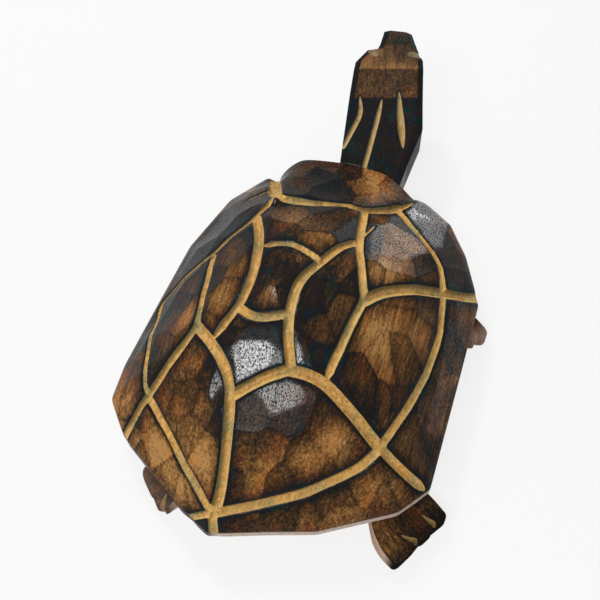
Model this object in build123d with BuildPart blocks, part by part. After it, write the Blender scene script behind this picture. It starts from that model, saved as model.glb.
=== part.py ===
"""A turtle carved in wood: a domed shell over a belly board, four legs, and a neck with its head.

The frame: +X points where the head looks, +Y to the turtle's left, +Z up. The origin is on the
floor, under the middle of the whole turtle. All lengths are in millimetres.
"""

import math
import os

from build123d import *

# Shell: a dome block with a flat underside and a narrow upright edge round its rim
shell_length = 167.0
shell_width = 124.0
ground_gap = 14.0
rim_band = 3.0
dome_rise = 50.0

# The rim in plan, from the rear point round by the left side, as shares of half length and half width
shell_outline_shares = [
    (-1.00, 0.10),
    (-0.92, 0.32),
    (-0.68, 0.79),
    (-0.54, 0.97),
    (-0.35, 1.00),
    (0.02, 0.96),
    (0.36, 0.92),
    (0.69, 0.79),
    (0.89, 0.60),
    (0.88, 0.47),
    (0.95, 0.38),
    (1.00, 0.10),
    (1.00, -0.19),
    (0.94, -0.40),
    (0.94, -0.50),
    (0.86, -0.71),
    (0.70, -0.86),
    (0.50, -1.00),
    (-0.54, -1.00),
    (-0.68, -0.86),
    (-0.86, -0.45),
    (-0.92, -0.19),
]

# The dome's crown in plan, and its profile as shares of the rim's spread and of the rise
crown_x_share = -0.17
crown_y_share = 0.06
dome_profile_shares = [
    (1.00, 0.00),
    (0.82, 0.31),
    (0.60, 0.59),
    (0.38, 0.81),
    (0.18, 0.94),
    (0.05, 1.00),
]

# Front lip: a raised visor over the neck, arched across, sloping down from the dome to a thin edge
lip_edge_height = 28.0
lip_back_height = 47.9
lip_depth = 41.0
lip_left_share = 0.47
lip_right_share = -0.45

# Scute lines: grooves over the dome, in plan, as shares of the shell's half length and half width
scute_line_width = 3.6
scute_line_shares = {
    "front": [(0.86, 0.55), (0.56, 0.40), (0.53, 0.22), (0.56, -0.18), (0.70, -0.33), (0.82, -0.40), (0.94, -0.48)],
    "right_margin": [(0.72, -0.36), (0.56, -0.59), (0.29, -0.81), (0.12, -0.84), (-0.22, -0.79), (-0.51, -0.68)],
    "rear_margin": [(-0.51, -0.68), (-0.77, -0.32), (-0.93, 0.12)],
    "left_margin": [(0.53, 0.39), (0.24, 0.51), (0.09, 0.70), (-0.06, 0.88), (-0.33, 0.80), (-0.58, 0.65)],
    "left_column": [(0.34, 0.42), (0.19, 0.32), (-0.08, 0.24), (-0.37, 0.36)],
    "front_arc": [(0.12, 0.26), (0.15, 0.09), (0.10, -0.09)],
    "right_column": [(0.29, -0.22), (0.09, -0.08), (-0.05, -0.02), (-0.24, -0.03), (-0.41, -0.12)],
    "front_right_column": [(0.56, -0.19), (0.24, -0.26), (0.01, -0.38)],
    "right_costal": [(0.01, -0.38), (0.16, -0.51), (0.32, -0.78), (0.50, -1.01)],
    "right_costal_rear": [(0.01, -0.38), (-0.18, -0.35), (-0.40, -0.31)],
    "rear_arch": [(-0.55, 0.17), (-0.45, 0.00), (-0.41, -0.12), (-0.41, -0.32), (-0.51, -0.66), (-0.57, -0.98)],
    "middle_arc": [(-0.24, 0.24), (-0.24, -0.03)],
    "left_costal": [(0.10, 0.58), (-0.19, 0.51), (-0.30, 0.48)],
    "left_diagonal": [(-0.30, 0.48), (-0.51, 0.63), (-0.69, 0.80)],
    "rear_column": [(-0.30, 0.48), (-0.46, 0.24), (-0.65, 0.14), (-0.93, 0.12), (-1.00, 0.10)],
    "left_rear_margin": [(-0.57, 0.66), (-0.80, 0.34), (-0.93, 0.12)],
}

# Belly board: closes the shell from below and holds the legs
board_thickness = 10.0
board_inset = 14.0

# Neck and head, one bar: its tenon lies in a housing in the shell's underside
neck_reach = 66.0
tenon_depth = 36.0
level_past_lip = 4.0
neck_width = 33.5
neck_depth = 18.0
neck_turn_degrees = 8.0
snout_side_offset = 1.0
tenon_height = 7.5
head_height = 46.5
snout_drop = 2.5
snout_depth = 9.0
shoulder_share = 0.57
head_start_share = 0.765
jaw_share = 0.90
neck_outline_shares = [
    (0.00, 0.87),
    (0.35, 0.93),
    (0.76, 0.90),
    (0.83, 0.71),
    (0.87, 0.54),
    (0.93, 0.52),
    (1.00, 0.39),
    (1.00, -0.39),
    (0.93, -0.54),
    (0.86, -0.66),
    (0.80, -0.93),
    (0.60, -1.00),
    (0.35, -0.87),
    (0.00, -0.87),
]

# Legs: slabs that lie level in the board and slope down to a flat sole
leg_thickness = 7.0
leg_width = 19.0
toe_round = 3.0
toe_cut_depth = 3.0
toe_cut_width = 4.0
leg_bend_share = 0.55
sole_share = 0.28
toe_cut_shares = [-0.20, 0.20]

# Where each leg's toes end, as shares of the shell's half length and half width
leg_toe_shares = {
    "front_left_leg": (0.78, 0.66),
    "front_right_leg": (0.33, -1.01),
    "rear_left_leg": (-0.84, 0.55),
    "rear_right_leg": (-0.70, -1.05),
}

# Where each leg's root ends under the shell, as shares of the same
leg_root_shares = {
    "front_left_leg": (0.38, 0.13),
    "front_right_leg": (0.60, -0.42),
    "rear_left_leg": (-0.39, 0.12),
    "rear_right_leg": (-0.42, -0.41),
}

# How wide each foot is at its toes
front_left_toe_width = 22.0
front_right_toe_width = 24.0
rear_left_toe_width = 20.0
rear_right_toe_width = 27.0
toe_widths = {
    "front_left_leg": front_left_toe_width,
    "front_right_leg": front_right_toe_width,
    "rear_left_leg": rear_left_toe_width,
    "rear_right_leg": rear_right_toe_width,
}

# Pegs, and the room left beside everything that is let in
dowel_diameter = 6.0
dowel_depth = 12.0
leg_dowel_shares = [0.16, 0.37]
neck_dowel_shares = [0.10, 0.36]
board_dowel_shares = [(-0.25, 0.45), (-0.05, -0.45)]
glue_gap = 0.2

# How far the right rear foot reaches past the shell's side, which sets the middle of the whole turtle
foot_overhang = 8.6

# Heights and places that follow from the sizes above
rim_top = ground_gap + rim_band
board_bottom = ground_gap - board_thickness
leg_bottom = ground_gap - leg_thickness
dowel_top = ground_gap + dowel_depth
tenon_top = ground_gap + tenon_height
neck_turn = math.radians(neck_turn_degrees)
neck_length = (neck_reach + tenon_depth) / math.cos(neck_turn)
tenon_length = tenon_depth + level_past_lip
shoulder = shoulder_share * tenon_depth
neck_bottom = tenon_top - neck_depth
neck_dowel_top = tenon_top + dowel_depth
dowel_radius = dowel_diameter / 2
dowel_hole_radius = dowel_radius + glue_gap / 2
shell_x = -neck_reach / 2
shell_y = foot_overhang / 2
crown_x = shell_x + crown_x_share * shell_length / 2
crown_y = shell_y + crown_y_share * shell_width / 2
lip_edge_x = shell_x + shell_length / 2
lip_rise = lip_back_height - lip_edge_height
lip_left_y = shell_y + lip_left_share * shell_width / 2
lip_right_y = shell_y + lip_right_share * shell_width / 2
front_x = (shell_length + neck_reach) / 2
snout_y = shell_y + snout_side_offset


def rim_points(spread, inset=0):
    """The rim in plan, pulled in from both sides by an inset and drawn towards the crown by a spread."""
    half_length = shell_length / 2 - inset
    half_width = shell_width / 2 - inset
    points = []
    for x_share, y_share in shell_outline_shares:
        rim_x = shell_x + x_share * half_length
        rim_y = shell_y + y_share * half_width
        points.append((crown_x + spread * (rim_x - crown_x), crown_y + spread * (rim_y - crown_y)))
    return points


def shell_place(x_share, y_share):
    """A place in plan, from shares of the shell's half length and half width."""
    return (shell_x + x_share * shell_length / 2, shell_y + y_share * shell_width / 2)


def dome_height(x, y):
    """Height of the dome over a place in plan, from how far out towards the rim the place lies."""
    spread = 1
    rim = rim_points(1)
    for (ax, ay), (bx, by) in zip(rim, rim[1:] + rim[:1]):
        reach = (ax - crown_x) * (by - ay) - (ay - crown_y) * (bx - ax)
        before = (ax - crown_x) * (y - crown_y) - (ay - crown_y) * (x - crown_x)
        after = (x - crown_x) * (by - crown_y) - (y - crown_y) * (bx - crown_x)
        if before * reach >= 0 and after * reach >= 0:
            spread = ((x - crown_x) * (by - ay) - (y - crown_y) * (bx - ax)) / reach
    rise = 1 if spread < dome_profile_shares[-1][0] else 0
    for (outer, low), (inner, high) in zip(dome_profile_shares, dome_profile_shares[1:]):
        if inner <= spread <= outer:
            rise = low + (high - low) * (outer - spread) / (outer - inner)
    return rim_top + rise * dome_rise


def plan_plane(place, heading, height):
    """A level plane at a height, with its X axis along a heading in radians."""
    x_dir = (math.cos(heading), math.sin(heading), 0)
    return Plane(origin=(*place, height), x_dir=x_dir, z_dir=(0, 0, 1))


def side_plane(place, heading):
    """An upright plane along a heading in radians, with its Y axis up."""
    x_dir = (math.cos(heading), math.sin(heading), 0)
    return Plane(origin=(*place, 0), x_dir=x_dir, z_dir=(math.sin(heading), -math.cos(heading), 0))


def along(place, heading, distance):
    """The point at a distance from a place along a heading in radians."""
    return (place[0] + distance * math.cos(heading), place[1] + distance * math.sin(heading))


# The neck in plan, and its tenon's end, found back from how far ahead the snout reaches
neck_points = [(u_share * neck_length, v_share * neck_width / 2) for u_share, v_share in neck_outline_shares]
snout_reach = max(u * math.cos(neck_turn) - v * math.sin(neck_turn) for u, v in neck_points)
neck_root = (front_x - snout_reach, snout_y - neck_length * math.sin(neck_turn))

# Each leg's root, heading and length, from its root to the middle of its toes
leg_roots = {}
leg_headings = {}
leg_lengths = {}
for leg_name in leg_toe_shares:
    root = shell_place(*leg_root_shares[leg_name])
    toe = shell_place(*leg_toe_shares[leg_name])
    leg_roots[leg_name] = root
    leg_headings[leg_name] = math.atan2(toe[1] - root[1], toe[0] - root[0])
    leg_lengths[leg_name] = math.dist(root, toe)

# Where the pegs stand in plan
leg_dowel_places = [
    along(leg_roots[leg_name], leg_headings[leg_name], leg_lengths[leg_name] * share)
    for leg_name in leg_roots
    for share in leg_dowel_shares
]
neck_dowel_places = [along(neck_root, neck_turn, tenon_length * share) for share in neck_dowel_shares]
board_dowel_places = [shell_place(*shares) for shares in board_dowel_shares]

os.makedirs("parts", exist_ok=True)

# Front lip, an arch drawn back and up into the dome, which becomes part of the shell
with BuildPart() as lip:
    with BuildSketch(Plane.YZ.offset(lip_edge_x)):
        with BuildLine():
            ThreePointArc(
                (lip_left_y, rim_top),
                ((lip_left_y + lip_right_y) / 2, lip_edge_height),
                (lip_right_y, rim_top),
            )
            Polyline(
                (lip_right_y, rim_top),
                (lip_right_y, ground_gap),
                (lip_left_y, ground_gap),
                (lip_left_y, rim_top),
            )
        make_face()
    extrude(amount=math.hypot(lip_depth, lip_rise), dir=(-lip_depth, 0, lip_rise))
    with BuildSketch(Plane.XY):
        with BuildLine():
            Polyline(*rim_points(1), close=True)
        make_face()
    extrude(amount=lip_back_height, mode=Mode.INTERSECT)

# Shell: the dome over its rim band, with the lip, the scute lines, the neck's housing and the peg holes
with BuildPart() as shell:
    for spread_share, rise_share in dome_profile_shares:
        with BuildSketch(Plane.XY.offset(rim_top + rise_share * dome_rise)):
            with BuildLine():
                Polyline(*rim_points(spread_share), close=True)
            make_face()
    loft(ruled=True)
    with BuildSketch(Plane.XY.offset(ground_gap)):
        with BuildLine():
            Polyline(*rim_points(1), close=True)
        make_face()
    extrude(amount=rim_band)
    add(lip.part)
    for line_shares in scute_line_shares.values():
        line_places = [shell_place(*shares) for shares in line_shares]
        line_points = [Vector(x, y, dome_height(x, y)) for x, y in line_places]
        for start, end in zip(line_points, line_points[1:]):
            stroke = end - start
            across = Vector(0, 0, 1).cross(stroke)
            begin = start - stroke.normalized() * scute_line_width / 2
            with BuildSketch(Plane(origin=begin, x_dir=across, z_dir=stroke)):
                RegularPolygon(scute_line_width / 2, 4)
            extrude(amount=stroke.length + scute_line_width, mode=Mode.SUBTRACT)
    with BuildSketch(plan_plane(neck_root, neck_turn, ground_gap)):
        with BuildLine():
            Polyline(*neck_points, close=True)
        make_face()
        offset(amount=glue_gap, kind=Kind.INTERSECTION)
    extrude(amount=tenon_height + glue_gap, mode=Mode.SUBTRACT)
    with Locations(*[(x, y, ground_gap) for x, y in leg_dowel_places + board_dowel_places]):
        Cylinder(
            dowel_hole_radius,
            dowel_depth + glue_gap,
            align=(Align.CENTER, Align.CENTER, Align.MIN),
            mode=Mode.SUBTRACT,
        )
    with Locations(*[(x, y, tenon_top) for x, y in neck_dowel_places]):
        Cylinder(
            dowel_hole_radius,
            dowel_depth + glue_gap,
            align=(Align.CENTER, Align.CENTER, Align.MIN),
            mode=Mode.SUBTRACT,
        )
shell.part.label = "shell"
export_step(shell.part, "parts/shell.step")

# Belly board: the rim's outline pulled in, with a slot for each leg, the neck's shoulder and the pegs
with BuildPart() as belly_board:
    with BuildSketch(Plane.XY.offset(board_bottom)):
        with BuildLine():
            Polyline(*rim_points(1, board_inset), close=True)
        make_face()
    extrude(amount=board_thickness)
    for leg_name, root in leg_roots.items():
        leg_length = leg_lengths[leg_name]
        leg_bend = leg_bend_share * leg_length
        slot_width = leg_width + 2 * glue_gap
        mouth_width = max(leg_width, toe_widths[leg_name]) + 2 * glue_gap
        with BuildSketch(plan_plane(root, leg_headings[leg_name], leg_bottom)):
            with Locations((-glue_gap, 0)):
                Rectangle(leg_length, slot_width, align=(Align.MIN, Align.CENTER))
        extrude(amount=leg_thickness, mode=Mode.SUBTRACT)
        with BuildSketch(plan_plane(root, leg_headings[leg_name], board_bottom)):
            with Locations((leg_bend, 0)):
                Rectangle(leg_length, mouth_width, align=(Align.MIN, Align.CENTER))
        extrude(amount=board_thickness, mode=Mode.SUBTRACT)
    with BuildSketch(plan_plane(neck_root, neck_turn, board_bottom)):
        with Locations((shoulder - glue_gap, 0)):
            Rectangle(neck_length, shell_width, align=(Align.MIN, Align.CENTER))
    extrude(amount=board_thickness, mode=Mode.SUBTRACT)
    with Locations(*[(x, y, board_bottom) for x, y in leg_dowel_places + board_dowel_places + neck_dowel_places]):
        Cylinder(
            dowel_hole_radius,
            board_thickness,
            align=(Align.CENTER, Align.CENTER, Align.MIN),
            mode=Mode.SUBTRACT,
        )
belly_board.part.label = "belly_board"
export_step(belly_board.part, "parts/belly_board.step")

# Head and neck: the bar's side view, trimmed to its outline in plan
with BuildPart() as head_and_neck:
    head_start = head_start_share * neck_length
    jaw = jaw_share * neck_length
    snout_top = head_height - snout_drop
    with BuildSketch(side_plane(neck_root, neck_turn)):
        with BuildLine():
            Polyline(
                (0, ground_gap),
                (0, tenon_top),
                (tenon_length, tenon_top),
                (head_start, head_height),
                (neck_length, snout_top),
                (neck_length, snout_top - snout_depth),
                (jaw, head_height - neck_depth),
                (head_start, head_height - neck_depth),
                (tenon_length, neck_bottom),
                (shoulder, neck_bottom),
                (shoulder, ground_gap),
                close=True,
            )
        make_face()
    extrude(amount=neck_width, both=True)
    with BuildSketch(plan_plane(neck_root, neck_turn, 0)):
        with BuildLine():
            Polyline(*neck_points, close=True)
        make_face()
    extrude(amount=head_height, mode=Mode.INTERSECT)
    with Locations(*[(x, y, ground_gap) for x, y in neck_dowel_places]):
        Cylinder(
            dowel_hole_radius,
            tenon_height,
            align=(Align.CENTER, Align.CENTER, Align.MIN),
            mode=Mode.SUBTRACT,
        )
head_and_neck.part.label = "head_and_neck"
export_step(head_and_neck.part, "parts/head_and_neck.step")

# Legs: a bent slab's side view, trimmed to a paddle with two cuts between its toes
for leg_name, root in leg_roots.items():
    heading = leg_headings[leg_name]
    leg_length = leg_lengths[leg_name]
    leg_bend = leg_bend_share * leg_length
    toe_width = toe_widths[leg_name]
    with BuildPart() as leg:
        with BuildSketch(side_plane(root, heading)):
            with BuildLine():
                Polyline(
                    (0, leg_bottom),
                    (0, ground_gap),
                    (leg_bend, ground_gap),
                    (leg_length, leg_thickness),
                    (leg_length, 0),
                    (leg_length - sole_share * leg_length, 0),
                    (leg_bend, leg_bottom),
                    close=True,
                )
            make_face()
        extrude(amount=toe_width, both=True)
        with BuildSketch(plan_plane(root, heading, 0)) as paddle:
            with BuildLine():
                Polyline(
                    (0, leg_width / 2),
                    (leg_bend, leg_width / 2),
                    (leg_length, toe_width / 2),
                    (leg_length, -toe_width / 2),
                    (leg_bend, -leg_width / 2),
                    (0, -leg_width / 2),
                    close=True,
                )
            make_face()
            fillet(paddle.vertices().group_by(Axis.X)[-1], toe_round)
            with Locations(*[(leg_length, share * toe_width) for share in toe_cut_shares]):
                Polygon(
                    (0, toe_cut_width / 2),
                    (-toe_cut_depth, 0),
                    (0, -toe_cut_width / 2),
                    align=None,
                    mode=Mode.SUBTRACT,
                )
        extrude(amount=ground_gap, mode=Mode.INTERSECT)
        with Locations(*[(x, y, 0) for x, y in leg_dowel_places]):
            Cylinder(
                dowel_hole_radius,
                ground_gap,
                align=(Align.CENTER, Align.CENTER, Align.MIN),
                mode=Mode.SUBTRACT,
            )
    leg.part.label = leg_name
    export_step(leg.part, f"parts/{leg_name}.step")


def dowel_set(label, places, bottom, top):
    """One node of equal round pegs that stand at the given places from a bottom to a top height."""
    with BuildPart() as pegs:
        with Locations(*[(x, y, bottom) for x, y in places]):
            Cylinder(dowel_radius, top - bottom, align=(Align.CENTER, Align.CENTER, Align.MIN))
    pegs.part.label = label
    export_step(pegs.part, f"parts/{label}.step")


# Pegs: flush with the board's underside and driven up into the shell
dowel_set("leg_dowels", leg_dowel_places, board_bottom, dowel_top)
dowel_set("neck_dowels", neck_dowel_places, board_bottom, neck_dowel_top)
dowel_set("board_dowels", board_dowel_places, board_bottom, dowel_top)
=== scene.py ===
"""A turtle carved in wood, stained, cut with pale scute lines and varnished, in plain studio light."""

import math

import bpy
import numpy as np
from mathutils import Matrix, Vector


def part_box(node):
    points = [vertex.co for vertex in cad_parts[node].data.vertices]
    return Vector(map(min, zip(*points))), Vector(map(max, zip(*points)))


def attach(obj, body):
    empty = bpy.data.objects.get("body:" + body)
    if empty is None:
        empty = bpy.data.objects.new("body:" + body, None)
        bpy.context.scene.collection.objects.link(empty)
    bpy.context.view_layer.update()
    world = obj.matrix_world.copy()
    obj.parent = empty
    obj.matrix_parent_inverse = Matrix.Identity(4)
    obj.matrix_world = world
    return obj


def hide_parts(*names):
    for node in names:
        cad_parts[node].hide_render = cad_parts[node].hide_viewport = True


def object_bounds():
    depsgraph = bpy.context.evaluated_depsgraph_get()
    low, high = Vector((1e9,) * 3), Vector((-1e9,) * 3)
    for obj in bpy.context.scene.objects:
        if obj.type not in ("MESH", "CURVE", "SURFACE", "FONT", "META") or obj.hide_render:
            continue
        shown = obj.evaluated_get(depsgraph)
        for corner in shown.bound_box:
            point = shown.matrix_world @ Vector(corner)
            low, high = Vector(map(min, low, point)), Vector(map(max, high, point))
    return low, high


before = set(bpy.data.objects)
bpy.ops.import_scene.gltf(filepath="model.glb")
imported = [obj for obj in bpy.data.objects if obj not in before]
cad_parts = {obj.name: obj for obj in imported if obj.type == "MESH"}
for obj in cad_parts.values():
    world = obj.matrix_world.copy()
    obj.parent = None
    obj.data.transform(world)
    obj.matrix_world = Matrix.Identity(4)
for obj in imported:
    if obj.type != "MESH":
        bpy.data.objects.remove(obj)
cad_low, cad_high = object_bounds()

# Camera: it stands behind the turtle, a little to its right, and looks steeply down on the shell.
# The picture is square, 600 pixels a side.
picture_side = 600
lens_mm = 60.0
sensor_mm = 36.0
camera_turn = math.radians(17.0)
camera_rise = math.radians(57.0)
camera_distance = 0.390
camera_aim = np.array((-0.0195, 0.0083, 0.0250))
focal_pixels = lens_mm / sensor_mm * picture_side
camera_back = np.array((
    -math.cos(camera_turn) * math.cos(camera_rise),
    -math.sin(camera_turn) * math.cos(camera_rise),
    math.sin(camera_rise),
))
camera_right = np.array((math.sin(camera_turn), -math.cos(camera_turn), 0.0))
camera_up = np.cross(camera_back, camera_right)
camera_place = camera_aim + camera_distance * camera_back
ray_slices = 300
ray_halvings = 20

camera_data = bpy.data.cameras.new("camera")
camera_data.lens = lens_mm
camera_data.sensor_width = sensor_mm
camera = bpy.data.objects.new("camera", camera_data)
camera.location = camera_place
camera.rotation_euler = Vector(camera_back).to_track_quat("Z", "Y").to_euler()
bpy.context.scene.collection.objects.link(camera)
bpy.context.scene.camera = camera


def pixels_on(surface, pixels):
    """Points where the camera's rays through picture pixels first meet a surface given by its height.

    Each ray is followed down through level slices. The first slice where the ray lies under the
    surface is then halved towards the slice above it until the two agree.
    """
    pixels = np.asarray(pixels, float)
    across = (pixels[:, 0] - picture_side / 2) / focal_pixels
    upward = (picture_side / 2 - pixels[:, 1]) / focal_pixels
    rays = -camera_back + across[:, None] * camera_right + upward[:, None] * camera_up

    def at_level(level):
        travel = (level - camera_place[2]) / rays[:, 2]
        return camera_place + travel[:, None] * rays

    slices = np.linspace(cad_high[2], -cad_high[2], ray_slices)
    lies_under = np.array([
        point[:, 2] < surface(point[:, 0], point[:, 1])
        for point in (at_level(np.full(len(pixels), level)) for level in slices)
    ])
    first = np.maximum(lies_under.argmax(axis=0), 1)
    above, below = slices[first - 1], slices[first]
    for _ in range(ray_halvings):
        middle = (above + below) / 2
        point = at_level(middle)
        under = point[:, 2] < surface(point[:, 0], point[:, 1])
        below = np.where(under, middle, below)
        above = np.where(under, above, middle)
    return at_level(below)


# Shell: one block of wood, carved to a dome with a thin upright rim and a visor over the neck.
# A flat gouge left shallow facets, the block was stained dark, and a round gouge then cut the
# scute lines through the stain to pale wood before the varnish.
shell_low, shell_high = (np.array(corner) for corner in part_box("shell"))
shell_middle = (shell_low + shell_high) / 2
shell_half = (shell_high - shell_low) / 2
rim_band = 0.0038
rim_top = shell_low[2] + rim_band
dome_rise = shell_high[2] - rim_top
dome_fall_power = 1.6
dome_top_power = 0.9
dome_round_shares = (0.25, 0.95)
crown_shares = (-0.17, 0.06)
rim_shares = [
    (-1.00, 0.125), (-0.93, 0.32), (-0.69, 0.805), (-0.54, 0.967), (-0.36, 0.98), (0.02, 0.945),
    (0.36, 0.91), (0.69, 0.785), (0.89, 0.595), (0.88, 0.47), (0.95, 0.38), (1.00, 0.10),
    (1.00, -0.19), (0.94, -0.40), (0.93, -0.49), (0.86, -0.71), (0.70, -0.86), (0.44, -1.02),
    (0.02, -1.015), (-0.54, -1.005), (-0.68, -0.86), (-0.86, -0.45), (-0.92, -0.19),
]
crown = shell_middle[:2] + np.array(crown_shares) * shell_half[:2]
shell_columns = 640
dome_rings = 130
band_rings = 3
under_rings = 14
ring_crowding = 0.85
rim_softenings = 4


def even_loop(corners, count):
    """Evenly spaced points along the straight sides of a closed outline, its corners lightly rounded.

    Each round of rounding replaces a point by the mean of itself, twice, and its two neighbours.
    """
    loop = np.vstack([corners, corners[:1]])
    travelled = np.concatenate([[0], np.cumsum(np.linalg.norm(np.diff(loop, axis=0), axis=1))])
    wanted = np.linspace(0, travelled[-1], count, endpoint=False)
    points = np.stack([np.interp(wanted, travelled, loop[:, axis]) for axis in range(2)], axis=1)
    for _ in range(rim_softenings):
        points = (np.roll(points, 1, axis=0) + 2 * points + np.roll(points, -1, axis=0)) / 4
    return points


rim = even_loop(shell_middle[:2] + np.array(rim_shares) * shell_half[:2], shell_columns)
rim_angles = np.arctan2(rim[:, 1] - crown[1], rim[:, 0] - crown[0])
rim_reach = np.linalg.norm(rim - crown, axis=1)
rim_order = np.argsort(rim_angles)
round_directions = 720
round_angles = np.linspace(-math.pi, math.pi, round_directions, endpoint=False)
round_window = math.radians(24.0)
round_offsets = (round_angles[:, None] - rim_angles + math.pi) % (2 * math.pi) - math.pi
round_weights = np.exp(-((round_offsets / round_window) ** 2))
round_reach = round_weights @ rim_reach / round_weights.sum(axis=1)


def smooth_step(low, high, value):
    """0 below low, 1 above high, and the curve 3t^2 - 2t^3 between them."""
    share = np.clip((value - low) / (high - low), 0, 1)
    return share * share * (3 - 2 * share)


def dome(x, y):
    """Height of the plain dome: the rim's height plus the rise times (1 - share^fall)^top.

    The share is a point's distance from the crown over the rim's distance in the same direction, and
    fall and top are the two powers. Near the crown the rim's corners are rounded off by a weighted
    mean over neighbouring directions.
    """
    angle = np.arctan2(y - crown[1], x - crown[0])
    distance = np.hypot(x - crown[0], y - crown[1])
    reach = np.interp(angle, rim_angles[rim_order], rim_reach[rim_order], period=2 * math.pi)
    rounded = np.interp(angle, round_angles, round_reach, period=2 * math.pi)
    reach = rounded + (reach - rounded) * smooth_step(*dome_round_shares, distance / reach)
    fall = 1 - (distance / reach) ** dome_fall_power
    return rim_top + dome_rise * np.sign(fall) * np.abs(fall) ** dome_top_power


# The visor in front: it slopes forward from the dome to a thin edge over the neck, arched across
visor_edge_height = 0.0276
visor_back_height = 0.0455
visor_slope = 0.486
visor_arch_drop = 0.0114
visor_left_share = 0.50
visor_right_share = 0.45
visor_left_power = 7
visor_right_power = 3
corner_shares = (0.93, -0.50)
corner_lift = 0.0040
corner_reach = 0.011
corner_place = shell_middle[:2] + np.array(corner_shares) * shell_half[:2]


def shell_top(x, y):
    """Height of the dome with the visor ahead of its crown, whichever is higher.

    The visor is an arch, edge height - drop * |offset / half width|^power, plus a steady slope
    backwards. Its left half is wider and its end there steeper, so the half width and power differ.
    The scute right of it has a raised front corner, which dies away as exp(-(distance / reach)^2).
    """
    leftwards = (y - shell_middle[1]) / shell_half[1]
    half_share = np.where(leftwards > 0, visor_left_share, visor_right_share)
    power = np.where(leftwards > 0, visor_left_power, visor_right_power)
    arch = visor_edge_height - visor_arch_drop * np.abs(leftwards / half_share) ** power
    visor = np.minimum(arch + visor_slope * (shell_high[0] - x), visor_back_height)
    off_corner = np.hypot(x - corner_place[0], y - corner_place[1]) / corner_reach
    raised = dome(x, y) + corner_lift * np.exp(-off_corner**2)
    return np.maximum(raised, np.where(x > crown[0], visor, 0))


carving_depth = 0.0014
slope_step = 0.0005


def carved_level(x, y):
    """Height about halfway down the carved lines, a steady depth under the plain shell."""
    return shell_top(x, y) - carving_depth


def pixels_on_carving(pixels):
    """Points of the plain shell straight over carved work that is seen at picture pixels.

    The rays are followed to the carved level. From there the points go back along the normal (-sx, -sy,
    1) by depth / (1 + sx^2 + sy^2), where sx and sy are the plain shell's slopes over a short step.
    """
    found = pixels_on(carved_level, pixels)
    slopes = [
        (shell_top(*(found[:, :2] + step).T) - shell_top(*(found[:, :2] - step).T)) / (2 * slope_step)
        for step in slope_step * np.eye(2)
    ]
    normals = np.column_stack([-slopes[0], -slopes[1], np.ones(len(found))])
    return found + carving_depth * normals / (normals**2).sum(axis=1, keepdims=True)


# Each scute line: its width, the length over which its first and last end fade, and picture pixels
scute_lines = {
    "front": (0.0038, 0, 0.010, [
        (272, 182), (274, 198), (300, 202), (338, 206), (362, 212), (389, 211), (402, 209), (413, 205),
    ]),
    "right_margin": (0.0034, 0, 0, [
        (398, 212), (411, 227), (424, 242), (434, 258), (440, 271), (443, 290), (444, 302), (440, 337),
        (430, 365), (415, 395), (397, 424), (379, 447),
    ]),
    "rear_margin": (0.0036, 0, 0, [(382, 445), (362, 466), (345, 475), (300, 495), (253, 505), (213, 513)]),
    "left_margin": (0.0024, 0, 0, [
        (273, 200), (259, 216), (235, 235), (216, 253), (196, 268), (176, 287), (161, 305), (157, 321),
        (149, 345), (145, 370), (146, 388), (152, 401),
    ]),
    "left_column": (0.0038, 0, 0.006, [
        (257, 219), (260, 237), (258, 256), (253, 278), (243, 300), (235, 312), (224, 326), (212, 340),
    ]),
    "front_arc": (0.0032, 0.002, 0, [(264, 247), (280, 244), (296, 246), (309, 252), (321, 261)]),
    "right_column": (0.0036, 0, 0, [
        (354, 244), (339, 248), (320, 262), (299, 281), (292, 300), (288, 320), (288, 341), (291, 367),
    ]),
    "front_right_column": (0.0034, 0, 0, [(364, 213), (360, 233), (358, 252), (361, 271), (364, 298)]),
    "right_costal": (0.0044, 0, 0, [(364, 301), (380, 293), (398, 290), (418, 290), (441, 293), (480, 300)]),
    "right_costal_rear": (0.0032, 0, 0.003, [(364, 300), (347, 333), (334, 359), (326, 380)]),
    "rear_arch_left": (0.0040, 0, 0, [(229, 397), (244, 388), (266, 377), (288, 370)]),
    "rear_arch_right": (0.0042, 0, 0, [(288, 370), (307, 374), (326, 384), (350, 411), (375, 443)]),
    "rear_arch_tail": (0.0034, 0, 0.004, [(375, 443), (400, 469), (424, 490)]),
    "middle_arc": (0.0032, 0, 0, [(241, 309), (251, 316), (264, 318), (279, 316), (288, 314)]),
    "left_costal": (0.0030, 0, 0, [(214, 258), (208, 280), (202, 305), (197, 326)]),
    "left_diagonal": (0.0032, 0, 0, [
        (197, 326), (176, 355), (160, 380), (148, 397), (138, 411), (125, 438),
    ]),
    "rear_column": (0.0040, 0, 0, [
        (197, 326), (215, 347), (224, 366), (229, 390), (229, 422), (226, 454), (219, 500), (213, 514),
    ]),
    "left_rear_margin": (0.0031, 0, 0, [(151, 400), (169, 433), (186, 468), (202, 496), (212, 512)]),
    "rear_point": (0.0034, 0, 0, [(212, 508), (214, 540)]),
    "left_spur": (0.0026, 0, 0, [(189, 517), (210, 513)]),
    "front_notch": (0.0044, 0.002, 0, [(277, 178), (277, 197)]),
    "front_nick": (0.0009, 0, 0.003, [(361, 239), (374, 228)]),
    "left_front_nick": (0.0016, 0.004, 0, [(246, 203), (258, 196), (271, 191)]),
}
scute_line_depth_share = 0.45

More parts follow.
